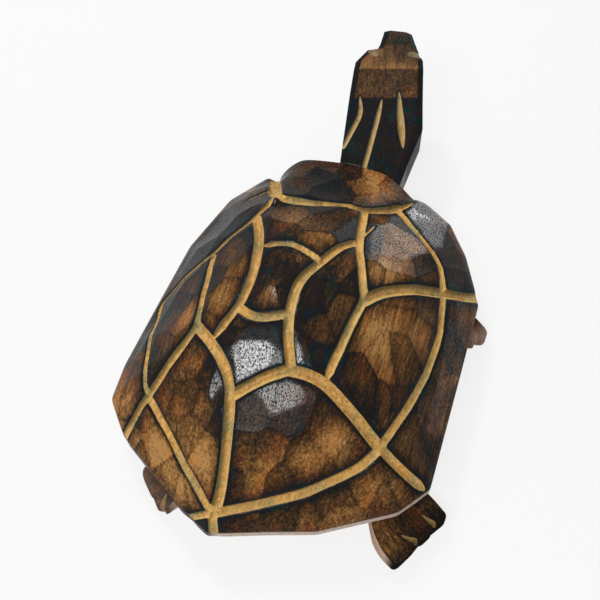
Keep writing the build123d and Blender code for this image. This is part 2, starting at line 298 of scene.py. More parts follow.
# Patches lighter or darker than the plain stain: a picture pixel, a radius, and how much lighter each makes
# it
stain_patches = [
    (372, 326, 0.011, 0.40), (400, 345, 0.009, 0.10), (360, 372, 0.007, 0.12), (376, 272, 0.008, 0.62),
    (299, 461, 0.008, 0.44), (325, 449, 0.008, 0.42), (263, 478, 0.008, 0.30), (346, 435, 0.006, 0.24),
    (165, 458, 0.011, 0.52), (184, 486, 0.009, 0.40), (133, 405, 0.009, 0.34), (203, 455, 0.010, 0.30),
    (175, 418, 0.009, 0.14), (120, 411, 0.009, 0.45), (385, 490, 0.008, 0.30), (345, 507, 0.008, 0.20),
    (275, 518, 0.009, 0.22), (382, 190, 0.011, 0.55), (300, 222, 0.008, 0.16), (275, 290, 0.006, 0.20),
    (190, 312, 0.007, 0.26), (216, 300, 0.007, 0.16), (315, 185, 0.014, -0.36), (270, 340, 0.011, -0.35),
    (282, 268, 0.009, -0.30), (312, 310, 0.010, -0.15), (458, 330, 0.012, -0.25), (450, 400, 0.012, -0.25),
    (436, 455, 0.010, -0.35), (225, 222, 0.016, -0.60), (185, 270, 0.014, -0.50), (150, 325, 0.012, -0.40),
    (262, 442, 0.012, -0.22), (300, 425, 0.010, -0.22), (430, 225, 0.012, -0.25), (455, 262, 0.010, -0.15),
    (250, 360, 0.010, -0.25),
]

# Flats with their own thickness of varnish, most of them thick and polished: how thick, and the flat's
# outline in picture pixels. Elsewhere it is plain, and it changes over a narrow edge.
plain_gloss = 0.08
gloss_edge = 0.0007
glossy_flats = [
    (0.03, [(226, 349), (236, 326), (250, 320), (282, 320), (286, 350), (269, 342), (240, 341)]),
    (0.75, [(224, 357), (226, 349), (240, 341), (269, 342), (276, 350), (268, 367), (233, 384), (228, 374)]),
    (0.3, [(275, 350), (285, 353), (286, 368), (268, 370)]),
    (0.38, [(252, 392), (286, 375), (298, 382), (306, 394), (305, 403), (290, 409), (272, 416), (262, 400)]),
    (0.05, [(236, 404), (252, 389), (262, 400), (271, 416), (262, 424), (238, 428)]),
    (0.35, [(209, 400), (209, 385), (215, 371), (221, 383), (222, 400)]),
    (0.7, [(296, 342), (301, 347), (303, 366), (298, 366)]),
    (0.03, [(306, 394), (322, 405), (318, 428), (300, 440), (268, 434), (262, 424), (272, 416), (305, 403)]),
    (0.22, [(368, 258), (394, 258), (401, 264), (398, 282), (370, 290)]),
    (1.3, [(406, 214), (425, 202), (447, 224), (441, 247), (434, 249), (424, 236)]),
    (0.3, [(447, 297), (476, 304), (455, 380), (437, 440), (426, 430), (437, 380), (447, 330)]),
    (0.4, [(370, 232), (384, 216), (400, 220), (426, 252), (418, 258), (402, 262), (394, 257), (370, 257)]),
]


def inside_outline(x, y, corners):
    """Whether points in plan lie in an outline: a ray along +X crosses its sides an odd number of times."""
    crossings = np.zeros(x.shape, int)
    for (start_x, start_y), (end_x, end_y) in zip(corners, np.roll(corners, -1, axis=0)):
        spans = (start_y > y) != (end_y > y)
        share = (y - start_y) / np.where(spans, end_y - start_y, 1)
        crossings = crossings + (spans & (x < start_x + share * (end_x - start_x)))
    return crossings % 2 == 1


def cut_corners(line):
    """A broken line with its corners cut twice: each side keeps its middle half, and the ends stay."""
    for _ in range(2):
        near = 0.75 * line[:-1] + 0.25 * line[1:]
        far = 0.25 * line[:-1] + 0.75 * line[1:]
        between = np.stack([near, far], axis=1).reshape(-1, line.shape[1])
        line = np.vstack([line[:1], between, line[-1:]])
    return line


def along_line(points, line):
    """Each point's offset from its nearest place on a broken line, and that place's lengths to both ends."""
    steps = np.diff(line, axis=0)
    lengths = np.linalg.norm(steps, axis=1)
    before = np.concatenate([[0], np.cumsum(lengths)])
    nearest = np.full(points.shape, np.inf)
    travelled = np.zeros(len(points))
    for start, step, length, passed in zip(line[:-1], steps, lengths, before):
        share = np.clip((points - start) @ step / length**2, 0, 1)
        offset = points - start - share[:, None] * step
        closer = np.linalg.norm(offset, axis=1) < np.linalg.norm(nearest, axis=1)
        nearest = np.where(closer[:, None], offset, nearest)
        travelled = np.where(closer, passed + share * length, travelled)
    return nearest, travelled, before[-1] - travelled


# The way in plan, towards the light ahead on the turtle's left, to the wall of each cut that gets
# painted shade, the reach of a cut with its eased edge over its half width, and the least share of a
# fading end
shaded_wall_way = np.array((0.47, 0.88, 0.0))
eased_share = 1.15
least_fade_share = 0.02


def gouge_cut(points, line, width, first_fade, last_fade, depth_share):
    """Depth of a round gouge's cut at each point, its distance outside the cut's edge, and its wall.

    Across the line the depth is width * depth_share * (1 - (distance / reach)^2)^2, with a reach a
    little over half the width, so the edge is eased. The half width grows from nothing over a fading
    end as the square root of the share of the fade passed. The wall runs from -1 to 1 across the cut,
    1 on the wall towards the light, which the material paints in shade, and -1 on the far wall, which
    it paints lit.
    """
    offset, from_first, from_last = along_line(points, line)
    distance = np.linalg.norm(offset, axis=1)
    half = np.full(len(points), width / 2)
    if first_fade:
        half = half * np.sqrt(np.clip(from_first / first_fade, least_fade_share, 1))
    if last_fade:
        half = half * np.sqrt(np.clip(from_last / last_fade, least_fade_share, 1))
    depth = 2 * half * depth_share * np.maximum(1 - (distance / (eased_share * half)) ** 2, 0) ** 2
    return depth, distance - half, np.clip(offset @ shaded_wall_way / half, -1, 1)


def gouge_cuts(points, lines, depth_share):
    """The deepest of several cuts at each point, with the distance and wall of the nearest one."""
    deepest = np.zeros(len(points))
    nearest = np.full(len(points), np.inf)
    nearest_wall = np.zeros(len(points))
    for line, width, first_fade, last_fade in lines:
        depth, outside, wall = gouge_cut(points, line, width, first_fade, last_fade, depth_share)
        deepest = np.maximum(deepest, depth)
        nearest_wall = np.where(outside < nearest, wall, nearest_wall)
        nearest = np.minimum(nearest, outside)
    return deepest, nearest, nearest_wall


def ring_normals(rings):
    """Unit normals of a grid of closed rings, from the differences of neighbours along and across.

    They are turned to point away from the middles of the rings.
    """
    along = np.gradient(rings, axis=0)
    around = np.roll(rings, -1, axis=1) - np.roll(rings, 1, axis=1)
    normals = np.cross(around, along)
    lengths = np.linalg.norm(normals, axis=2, keepdims=True)
    outwards = rings - rings.mean(axis=1, keepdims=True)
    return np.sign(np.sum(normals * outwards)) * normals / np.where(lengths > 0, lengths, 1)


# The flat gouge's marks: shallow dishes on a jittered grid, longer along the body than across it
mark_length = 0.0135
mark_width = 0.0105
mark_hollow = 9.0
mark_tilt = 0.045
mark_drop = 0.00012
mark_sink = 0.00045
mark_jitter = 0.3
mark_seed = 11
marks = np.random.default_rng(mark_seed)
mark_x, mark_y = np.meshgrid(
    np.arange(shell_low[0], shell_high[0] + mark_length, mark_length),
    np.arange(shell_low[1], shell_high[1] + mark_width, mark_width),
    indexing="ij",
)
mark_y = mark_y + mark_width / 2 * (np.arange(len(mark_x)) % 2)[:, None]
mark_x = mark_x.ravel() + marks.uniform(-mark_jitter, mark_jitter, mark_x.size) * mark_length
mark_y = mark_y.ravel() + marks.uniform(-mark_jitter, mark_jitter, mark_y.size) * mark_width
mark_tilts = marks.normal(0, mark_tilt, (2, mark_x.size))
mark_drops = marks.normal(0, mark_drop, mark_x.size)
mark_tones = marks.uniform(-1, 1, mark_x.size)

# Three broad flats behind the crown, cut deeper than the marks: a picture pixel at the middle of each, the
# way it faces, how far its middle is cut, and how fast it rises out of the cut along the body, to the
# left and to the right
broad_flats = [
    ((243, 360), (-0.516, 0.045, 0.855), 0.0015, (7.0, 4.5, 12.0)),
    ((213, 385), (-0.530, 0.060, 0.846), 0.0008, (18.0, 40.0, 50.0)),
    ((278, 396), (-0.523, -0.168, 0.836), 0.0011, (7.5, 6.5, 6.5)),
]
flat_probe = 0.003
flat_places = pixels_on(shell_top, [pixel for pixel, *_ in broad_flats])
flat_tilts = [
    -np.array(facing[:2]) / facing[2] - np.array([
        shell_top(*(place[:2] + step)) - shell_top(*(place[:2] - step)) for step in flat_probe * np.eye(2)
    ]) / (2 * flat_probe)
    for place, (_, facing, _, _) in zip(flat_places, broad_flats)
]


def gouge_marks(x, y):
    """The lowest of the dishes and broad flats at each point: hollow * distance^2 + tilt . offset + drop.

    A broad flat has its own rise in place of the hollow, and its depth in place of the drop. Gives that
    height, the tone of the lowest dish and how much higher the next lowest dish is.
    """
    stretch = mark_width / mark_length
    lowest = np.full(x.shape, np.inf)
    second = np.full(x.shape, np.inf)
    tone = np.zeros(x.shape)
    for centre_x, centre_y, tilt_x, tilt_y, drop, mark_tone in zip(
        mark_x, mark_y, *mark_tilts, mark_drops, mark_tones
    ):
        along, over = x - centre_x, y - centre_y
        height = mark_hollow * ((along * stretch) ** 2 + over**2) + tilt_x * along + tilt_y * over + drop
        second = np.minimum(second, np.maximum(lowest, height))
        tone = np.where(height < lowest, mark_tone, tone)
        lowest = np.minimum(lowest, height)
    for place, tilt, (_, _, depth, rise) in zip(flat_places, flat_tilts, broad_flats):
        along, over = x - place[0], y - place[1]
        rise_across = np.where(over > 0, rise[1], rise[2])
        height = rise[0] * along**2 + rise_across * over**2 + tilt[0] * along + tilt[1] * over - depth
        second = np.minimum(second, np.maximum(lowest, height))
        tone = np.where(height < lowest, 0, tone)
        lowest = np.minimum(lowest, height)
    return lowest, tone, second - lowest


# Neck, as far as the shell needs it: the housing in the shell's underside that its tenon lies in
neck_turn = math.radians(8.0)
neck_width = 0.0335
neck_length = 0.103
tenon_height = 0.0075
glue_gap = 0.0002
tenon_top = shell_low[2] + tenon_height
neck_high = np.array(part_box("head_and_neck")[1])
neck_along = np.array((math.cos(neck_turn), math.sin(neck_turn)))
neck_across = np.array((-math.sin(neck_turn), math.cos(neck_turn)))
snout_side_offset = 0.001
snout_half_share = 0.39
snout_reach = neck_length * neck_along[0] + snout_half_share * neck_width / 2 * neck_along[1]
neck_root = np.array((
    neck_high[0] - snout_reach,
    shell_middle[1] + snout_side_offset - neck_length * neck_along[1],
))


def shell_under(x, y):
    """Height of the shell's underside: level, and raised to the housing's ceiling over the neck."""
    offset = np.stack([x - neck_root[0], y - neck_root[1]], axis=-1)
    housed = (offset @ neck_along > -glue_gap) & (np.abs(offset @ neck_across) < neck_width / 2 + glue_gap)
    return np.where(housed, tenon_top + glue_gap, shell_low[2])


crease_angle = math.radians(60)


def skin(name, rings, first, last, masks):
    """A closed mesh over rings of points, with fans to a first and a last point, and its masks.

    Neighbouring rings are joined by quads. Faces are turned outwards by the sign of the volume, which
    is the sum over corner triangles of a . (b x c) / 6.
    """
    ring_count, column_count = rings.shape[:2]
    points = np.vstack([rings.reshape(-1, 3), first, last])
    index = np.arange(ring_count * column_count).reshape(ring_count, column_count)
    beside = np.roll(index, -1, axis=1)
    quads = np.stack([index[:-1], beside[:-1], beside[1:], index[1:]], axis=-1).reshape(-1, 4)
    opening = np.stack([np.full(column_count, index.size), beside[0], index[0]], axis=-1)
    closing = np.stack([np.full(column_count, index.size + 1), index[-1], beside[-1]], axis=-1)
    triangles = np.vstack([quads[:, :3], quads[:, [0, 2, 3]], opening, closing])
    a, b, c = (points[triangles[:, corner]] for corner in range(3))
    corners = np.concatenate([quads.ravel(), opening.ravel(), closing.ravel()])
    sizes = np.concatenate([np.full(len(quads), 4), np.full(2 * column_count, 3)])
    if np.einsum("ij,ij->", a, np.cross(b, c)) < 0:
        corners, sizes = corners[::-1], sizes[::-1]
    mesh = bpy.data.meshes.new(name)
    mesh.vertices.add(len(points))
    mesh.vertices.foreach_set("co", points.astype(np.float32).ravel())
    mesh.loops.add(len(corners))
    mesh.loops.foreach_set("vertex_index", corners.astype(np.int32))
    mesh.polygons.add(len(sizes))
    starts = np.concatenate([[0], np.cumsum(sizes)[:-1]])
    mesh.polygons.foreach_set("loop_start", starts.astype(np.int32))
    for mask_name, mask in masks.items():
        values = np.concatenate([mask.ravel(), [mask[0].mean(), mask[-1].mean()]])
        attribute = mesh.attributes.new(mask_name, "FLOAT", "POINT")
        attribute.data.foreach_set("value", values.astype(np.float32))
    mesh.update(calc_edges=True)
    mesh.validate()
    mesh.shade_smooth()
    mesh.set_sharp_from_angle(angle=crease_angle)
    piece = bpy.data.objects.new(name, mesh)
    bpy.context.scene.collection.objects.link(piece)
    return piece


# Beside a line the edge rolls down, and at the rim the carving fades. The plain stain is darker beside
# lines and on the ridges between marks, and differs from mark to mark. The rim's rear side and the
# underside show bare wood.
edge_roll = 0.00025
edge_roll_reach = 0.0009
line_far = 0.004
rim_fade_shares = (0.93, 1.0)
rim_cut_share = 0.10
plain_stain = 0.44
line_darkening = 0.60
line_darkening_reach = 0.0022
mark_variation = 0.25
ridge_darkening = 0.20
ridge_width = 0.00010
under_stain = 0.25
under_bare = 0.8
side_bare = 0.03
rear_turn_shares = (0.25, 0.50)
rear_point_ease = (-0.001, 0.003)

dome_shares = np.linspace(1 / dome_rings, 1, dome_rings) ** ring_crowding
dome_plan = crown + dome_shares[:, None, None] * (rim - crown)
dome_base = np.dstack([dome_plan, shell_top(dome_plan[..., 0], dome_plan[..., 1])])
dome_normals = ring_normals(dome_base)
dome_points = dome_base.reshape(-1, 3)

cut_depth, line_distance, line_wall = gouge_cuts(
    dome_points,
    [
        (pixels_on_carving(cut_corners(np.array(pixels, float))), width, first_fade, last_fade)
        for width, first_fade, last_fade, pixels in scute_lines.values()
    ],
    scute_line_depth_share,
)

mark_height, mark_tone, next_mark = gouge_marks(dome_points[:, 0], dome_points[:, 1])
rim_fade = np.repeat(1 - smooth_step(*rim_fade_shares, dome_shares), shell_columns)
cut_depth = cut_depth * (rim_cut_share + (1 - rim_cut_share) * rim_fade)
beside_line = np.maximum(line_distance, 0)
lift = (mark_height - mark_sink) * rim_fade
lift = lift - edge_roll * np.exp(-beside_line / edge_roll_reach) - cut_depth
dome_carved = dome_base + lift.reshape(dome_rings, shell_columns, 1) * dome_normals

stain = plain_stain + mark_variation * mark_tone
stain = stain - line_darkening * np.exp(-beside_line / line_darkening_reach)
stain = stain - ridge_darkening * np.exp(-next_mark / ridge_width)
patch_places = pixels_on(shell_top, [patch[:2] for patch in stain_patches])
for place, (_, _, radius, amount) in zip(patch_places, stain_patches):
    spread = np.linalg.norm(dome_points - place, axis=1) / radius
    stain = stain + amount * np.exp(-spread**2)
stain = np.clip(stain, 0, 1)

gloss = np.full(len(dome_points), plain_gloss)
for amount, pixels in glossy_flats:
    outline = pixels_on_carving(pixels)[:, :2]
    within = inside_outline(dome_points[:, 0], dome_points[:, 1], outline)
    off_border, _, _ = along_line(dome_points[:, :2], np.vstack([outline, outline[:1]]))
    inwards = np.linalg.norm(off_border, axis=1) * np.where(within, 1, -1)
    gloss = gloss + (amount - gloss) * smooth_step(-gloss_edge, gloss_edge, inwards)

rim_edge = dome_carved[-1]
band_foot = shell_under(rim[:, 0], rim[:, 1])
band_shares = np.linspace(0, 1, band_rings + 1)[1:, None]
band = np.stack([
    np.broadcast_to(rim_edge[:, 0], (band_rings, shell_columns)),
    np.broadcast_to(rim_edge[:, 1], (band_rings, shell_columns)),
    rim_edge[:, 2] + band_shares * (band_foot - rim_edge[:, 2]),
], axis=-1)
under_shares = np.linspace(1, 0, under_rings + 2)[1:-1]
under_plan = crown + under_shares[:, None, None] * (rim_edge[:, :2] - crown)
under = np.dstack([under_plan, shell_under(under_plan[..., 0], under_plan[..., 1])])

rim_heading = (rim - crown) / rim_reach[:, None]
rear_point_side = shell_middle[1] + rim_shares[0][1] * shell_half[1]
rear_facing = smooth_step(*rear_turn_shares, -rim_heading[:, 0])
rear_facing = rear_facing * smooth_step(*rear_point_ease, rear_point_side - rim[:, 1])
lower_shape = (band_rings + under_rings, shell_columns)
shell = skin(
    "carved_shell",
    np.vstack([dome_carved, band, under]),
    (*crown, dome_carved[0, :, 2].mean()),
    (*crown, shell_low[2]),
    {
        "stain": np.vstack([stain.reshape(dome_rings, -1), np.full(lower_shape, under_stain)]),
        "line": np.vstack([
            np.minimum(line_distance, line_far).reshape(dome_rings, -1),
            np.full(lower_shape, line_far),
        ]),
        "wall": np.vstack([line_wall.reshape(dome_rings, -1), np.zeros(lower_shape)]),
        "bare": np.vstack([
            np.zeros((dome_rings, shell_columns)),
            np.broadcast_to(side_bare + (1 - side_bare) * rear_facing, (band_rings, shell_columns)),
            np.full((under_rings, shell_columns), under_bare),
        ]),
        "gloss": np.vstack([gloss.reshape(dome_rings, -1), np.full(lower_shape, plain_gloss)]),
    },
)


def paint(red, green, blue):
    """A colour given as it looks on screen, 0 to 255, as the linear RGBA that shaders take."""
    screen = np.array((red, green, blue)) / 255
    linear = np.where(screen <= 0.04045, screen / 12.92, ((screen + 0.055) / 1.055) ** 2.4)
    return (*(float(part) for part in linear), 1.0)


def add_node(tree, kind, inputs=(), **settings):
    """A new node of a kind with its settings, and its inputs by name or number: a value or a socket."""
    node = tree.nodes.new(kind)
    for name, value in settings.items():
        setattr(node, name, value)
    for name, value in dict(inputs).items():
        if isinstance(value, bpy.types.NodeSocket):
            tree.links.new(value, node.inputs[name])
        else:
            node.inputs[name].default_value = value
    return node


def calculate(tree, operation, first, second, third=0.0, clamp=False):
    """The result socket of a Math node, whose third value serves a multiplication with a sum."""
    node = add_node(
        tree, "ShaderNodeMath", {0: first, 1: second, 2: third}, operation=operation, use_clamp=clamp
    )
    return node.outputs[0]


def sharpened(tree, value, gain, offset):
    """The result socket of value * gain + offset, kept between 0 and 1."""
    return calculate(tree, "MULTIPLY_ADD", value, gain, offset, clamp=True)


def step_down(tree, value, low, high):
    """The result socket of a smooth step from 1 below low to 0 above high."""
    node = add_node(tree, "ShaderNodeMapRange", {
        "Value": value, "From Min": low, "From Max": high, "To Min": 1.0, "To Max": 0.0,
    }, interpolation_type="SMOOTHSTEP")
    return node.outputs[0]


def mixed(tree, share, first, second, blend="MIX"):
    """The result socket of a colour mix, the share of the second in the first."""
    node = add_node(
        tree, "ShaderNodeMix", {0: share, 6: first, 7: second}, data_type="RGBA", blend_type=blend
    )
    return node.outputs[2]


def ramp(tree, value, stops):
    """The colour socket of a ramp with the given places and colours."""
    node = add_node(tree, "ShaderNodeValToRGB", {0: value})
    elements = node.color_ramp.elements
    for place, colour in stops[1:-1]:
        elements.new(place).color = colour
    for element, (place, colour) in zip(elements, stops):
        element.position = place
        element.color = colour
    return node.outputs[0]


def stretched_noise(tree, coordinates, per_metre, detail):
    """The value socket of a noise with its own frequency per metre along each axis."""
    mapping = add_node(tree, "ShaderNodeMapping", {"Vector": coordinates, "Scale": per_metre})
    noise = add_node(tree, "ShaderNodeTexNoise", {
        "Vector": mapping.outputs[0], "Scale": 1.0, "Detail": detail, "Roughness": 0.6,
    })
    return noise.outputs[0]


def open_group(name, inputs, outputs):
    """A new shader node group with named sockets of given kinds, and what its inputs put out."""
    tree = bpy.data.node_groups.new(name, "ShaderNodeTree")
    for side, sockets in (("INPUT", inputs), ("OUTPUT", outputs)):
        for socket, kind in sockets.items():
            tree.interface.new_socket(name=socket, in_out=side, socket_type="NodeSocket" + kind)
    return tree, tree.nodes.new("NodeGroupInput").outputs


def carved_stain_group():
    """Stained, carved and varnished wood, from masks painted on a piece.

    Stain runs from near black, 0, to rubbed golden, 1. Line is the distance in metres outside a cut
    that shows pale wood, below nothing inside it. Wall is 1 on the cut's wall towards the light, which
    gets painted shade, and -1 on the far wall, which gets painted light. Bare was never stained. Gloss
    is how thick the varnish lies, and Tint how much colour the darkest stain takes. Grain runs along X.
    Height is how far pores and grain stand proud.
    """
    tree, given = open_group(
        "carved_stain",
        {
            "Coordinates": "Vector", "Stain": "Float", "Line": "Float", "Wall": "Float", "Bare": "Float",
            "Gloss": "Float", "Line Wood": "Color", "Bare Wood": "Color", "Tint": "Float",
        },
        {"Color": "Color", "Roughness": "Float", "Coat": "Float", "Height": "Float"},
    )
    coordinates = given["Coordinates"]
    grain = stretched_noise(tree, coordinates, (90, 900, 900), 5)
    cloud = stretched_noise(tree, coordinates, (95, 130, 130), 3)
    pores = stretched_noise(tree, coordinates, (520, 1250, 1250), 1)
    hue = stretched_noise(tree, coordinates, (110, 160, 160), 1)
    speckle = stretched_noise(tree, coordinates, (900, 1400, 1400), 2)
    blotch = stretched_noise(tree, coordinates, (420, 620, 620), 3)
    ruddy = stretched_noise(tree, coordinates, (75, 120, 120), 1)
    breaks = stretched_noise(tree, coordinates, (820, 2300, 2300), 1)

    # The cut's ragged edge, and a dark outline beside it
    edge_wander = 0.0003
    edge_softness = 0.00015
    outline_fade = (0.0003, 0.0014)
    ragged = calculate(tree, "MULTIPLY_ADD", speckle, edge_wander, given["Line"])
    edge = calculate(tree, "SUBTRACT", ragged, edge_wander / 2)
    line = step_down(tree, edge, -edge_softness, edge_softness)
    outline = step_down(tree, edge, *outline_fade)

    # Stained wood: brown by its depth, reddish in places, and tinted where it is darkest
    speckle_amount = 0.8
    cloud_amount = 0.5
    mean_of_noises = (1 + speckle_amount + cloud_amount) / 2
    outline_darkening = 0.36
    most_redness = 0.55
    grained = calculate(tree, "ADD", grain, given["Stain"])
    flecked_stain = calculate(tree, "MULTIPLY_ADD", speckle, speckle_amount, grained)
    clouded = calculate(tree, "MULTIPLY_ADD", cloud, cloud_amount, flecked_stain)
    darkening_offset = calculate(tree, "MULTIPLY_ADD", outline, outline_darkening, mean_of_noises)
    depth = calculate(tree, "SUBTRACT", clouded, darkening_offset, clamp=True)
    stained = ramp(tree, depth, [
        (0.00, paint(23, 23, 21)), (0.22, paint(47, 38, 29)), (0.48, paint(86, 61, 38)),
        (0.75, paint(138, 98, 55)), (1.00, paint(190, 142, 84)),
    ])
    reddish = ramp(tree, depth, [
        (0.00, paint(52, 30, 22)), (0.45, paint(108, 58, 34)), (1.00, paint(206, 126, 58)),
    ])
    redness = calculate(tree, "MULTIPLY", sharpened(tree, ruddy, 4.0, -1.9), most_redness)
    stained = mixed(tree, redness, stained, reddish)
    tint = ramp(tree, hue, [
        (0.30, paint(16, 54, 52)), (0.42, paint(28, 38, 50)), (0.55, paint(36, 37, 33)),
        (0.72, paint(50, 38, 46)),
    ])
    darkness = calculate(tree, "MULTIPLY", sharpened(tree, depth, -2.6, 0.75), given["Tint"])
    tinted = mixed(tree, darkness, stained, tint)

    # Pale wood in the cuts: flecked, streaked and napped between a lit and a shaded copy of it, partly grain
    # and partly painted glints and shade, plain or khaki in places, and its two walls in painted light and
    # shade
    shade_factor = (0.46, 0.44, 0.40, 1.0)
    light_factor = (1.36, 1.64, 2.10, 1.0)
    khaki_factor = (0.62, 0.82, 1.10, 1.0)
    streak_share = 0.50
    nap_share = 0.30
    most_plainness = 0.5
    wall_shade_colour = paint(74, 74, 50)
    wall_shade_share = 0.80
    wall_light_share = 0.45
    streak = sharpened(tree, grain, 3.0, -1.0)
    shaded_line = mixed(tree, 1.0, given["Line Wood"], shade_factor, "MULTIPLY")
    lit_line = mixed(tree, 1.0, given["Line Wood"], light_factor, "MULTIPLY")
    flecked = mixed(tree, sharpened(tree, blotch, 5.0, -1.9), shaded_line, lit_line)
    line_wood = mixed(tree, streak_share, flecked, mixed(tree, streak, shaded_line, lit_line))
    napped = mixed(tree, sharpened(tree, speckle, 4.0, -1.5), shaded_line, lit_line)
    line_wood = mixed(tree, nap_share, line_wood, napped)
    plainness = calculate(tree, "MULTIPLY", sharpened(tree, cloud, 5.0, -2.3), most_plainness)
    line_wood = mixed(tree, plainness, line_wood, given["Line Wood"])
    khaki = mixed(tree, 1.0, line_wood, khaki_factor, "MULTIPLY")
    line_wood = mixed(tree, sharpened(tree, ruddy, -5.0, 2.6), line_wood, khaki)
    # Painted shade, olive, on the cut's wall towards the light, and painted light on its far wall
    shaded_side = calculate(tree, "SUBTRACT", 1.0, step_down(tree, given["Wall"], 0.05, 0.80))
    painted_wall_shade = calculate(tree, "MULTIPLY", shaded_side, wall_shade_share)
    line_wood = mixed(tree, painted_wall_shade, line_wood, wall_shade_colour)
    lit_side = step_down(tree, given["Wall"], -0.80, -0.10)
    painted_wall_light = calculate(tree, "MULTIPLY", lit_side, wall_light_share)
    line_wood = mixed(tree, painted_wall_light, line_wood, lit_line)

    # Bare wood, and the three woods together
    bare_shade = paint(84, 60, 50)
    bare_shade_share = 0.40
    shaded_bare = mixed(tree, bare_shade_share, given["Bare Wood"], bare_shade)
    bare_wood = mixed(tree, streak, shaded_bare, given["Bare Wood"])
    lined = mixed(tree, line, tinted, line_wood)
    colour = mixed(tree, given["Bare"], lined, bare_wood)

    # Varnish, broken by open pores and absent from cuts and bare wood
    varnish_roughness = 0.10
    grain_roughness = 0.10
    open_roughness = 0.22
    fibre_height = 0.3
    pore_height = 0.7
    open_wood = calculate(tree, "MAXIMUM", line, given["Bare"])
    varnished = calculate(tree, "MULTIPLY_ADD", grain, grain_roughness, varnish_roughness)
    rough = calculate(tree, "MULTIPLY_ADD", open_wood, open_roughness, varnished)
    unbroken = calculate(tree, "SUBTRACT", sharpened(tree, breaks, 3.8, -1.35), open_wood, clamp=True)
    coat = calculate(tree, "MULTIPLY", given["Gloss"], unbroken)
    fibre = calculate(tree, "MULTIPLY", grain, fibre_height)
    height = calculate(tree, "MULTIPLY_ADD", pores, pore_height, fibre)
    add_node(tree, "NodeGroupOutput", {"Color": colour, "Roughness": rough, "Coat": coat, "Height": height})
    return tree


carved_stain = carved_stain_group()
shell_line_wood = paint(222, 166, 90)
shell_bare_wood = paint(228, 208, 192)


def grained_material(name, group, turn, values):
    """A new material with a wood group in it, its grain turned by a rotation and its values set."""
    material = bpy.data.materials.new(name)
    material.use_nodes = True
    tree = material.node_tree
    tree.nodes.clear()
    coordinates = tree.nodes.new("ShaderNodeTexCoord").outputs["Object"]
    along_grain = add_node(tree, "ShaderNodeMapping", {"Vector": coordinates, "Rotation": turn})
    wood = add_node(tree, "ShaderNodeGroup", node_tree=group)
    tree.links.new(along_grain.outputs[0], wood.inputs["Coordinates"])
    for socket, value in values.items():
        wood.inputs[socket].default_value = value
    return material, tree, wood


def carved_material(name, line_wood, bare_wood, tint, bump, sheen, grain_heading):
    """Carved wood that reads the masks painted on the piece, grained along a heading.

    The wood itself has a weak sheen, and the varnish lies over it as a coat.
    """
    material, tree, wood = grained_material(
        name, carved_stain, (0.0, 0.0, -grain_heading),
        {"Line Wood": line_wood, "Bare Wood": bare_wood, "Tint": tint},
    )
    for socket in ("Stain", "Line", "Wall", "Bare", "Gloss"):
        mask = add_node(tree, "ShaderNodeAttribute", attribute_name=socket.lower())
        tree.links.new(mask.outputs["Fac"], wood.inputs[socket])
    relief = add_node(tree, "ShaderNodeBump", {
        "Height": wood.outputs["Height"], "Strength": bump, "Distance": 0.0004,
    })
    surface = add_node(tree, "ShaderNodeBsdfPrincipled", {
        "Base Color": wood.outputs["Color"],
        "Roughness": wood.outputs["Roughness"],
        "Normal": relief.outputs[0],
        "Specular IOR Level": sheen,
        "Coat Weight": wood.outputs["Coat"],
        "Coat Roughness": 0.16,
        "Coat IOR": 2.0,
    })
    add_node(tree, "ShaderNodeOutputMaterial", {"Surface": surface.outputs[0]})
    return material


shell.data.materials.append(carved_material(
    "shell_finish", shell_line_wood, shell_bare_wood, tint=0.8, bump=0.9, sheen=0.011, grain_heading=0.0
))
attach(shell, "root")
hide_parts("shell")

# Head and neck: one bar of the same wood, bent upwards, with its tenon let into the shell from below.
# Its corners are planed off, the neck is stained near black and gouged with three slots, the crown and
# a band behind it are rubbed brown, and a nick on each side makes the eyes.
neck_left_shares = [
    (0.00, 0.87), (0.35, 0.93), (0.42, 0.95), (0.66, 0.93), (0.79, 0.90), (0.872, 0.64), (0.878, 0.40),
    (0.91, 0.35), (1.00, 0.29),
]
neck_right_shares = [
    (0.00, -0.72), (0.36, -0.64), (0.45, -0.76), (0.585, -1.03), (0.68, -0.94), (0.75, -0.88),
    (0.84, -0.81), (0.87, -0.73), (0.90, -0.64), (0.94, -0.55), (1.00, -0.42),
]
tenon_length = 0.040
shoulder_length = 0.0205
head_start = 0.0788
jaw_start = 0.0927
neck_depth = 0.018
snout_drop = 0.0002
snout_depth = 0.009
neck_corner = 0.0025
neck_corner_drop = 0.0010
cross_skew = 0.158
snout_round = 0.0008
snout_shrink_share = 0.9
slot_depth_share = 0.34
eye_depth_share = 0.5
neck_bottom = tenon_top - neck_depth
neck_step = 0.00002
neck_top_line = np.array([
    (0, tenon_top), (tenon_length, tenon_top), (head_start, neck_high[2]),
    (neck_length, neck_high[2] - snout_drop),
])
neck_bottom_line = np.array([
    (0, shell_low[2]), (shoulder_length, shell_low[2]), (shoulder_length + neck_step, neck_bottom),
    (tenon_length, neck_bottom), (head_start, neck_high[2] - neck_depth),
    (jaw_start, neck_high[2] - neck_depth), (neck_length, neck_high[2] - snout_drop - snout_depth),
])
neck_slots = {
    "left_slot": (0.0021, 0.006, 0, [(360, 97), (361, 113), (354, 127), (343, 147)]),
    "middle_slot": (0.0022, 0.008, 0, [(382, 99), (378, 116), (371, 143), (363, 171)]),
    "right_slot": (0.0031, 0.012, 0.007, [(399, 92), (400, 115), (403, 148)]),
}
eye_nicks = {
    "left_eye": (0.0030, 0, 0.001, [(371, 50), (377, 56)]),
    "right_eye": (0.0040, 0, 0.003, [(419, 54), (407, 54)]),
}


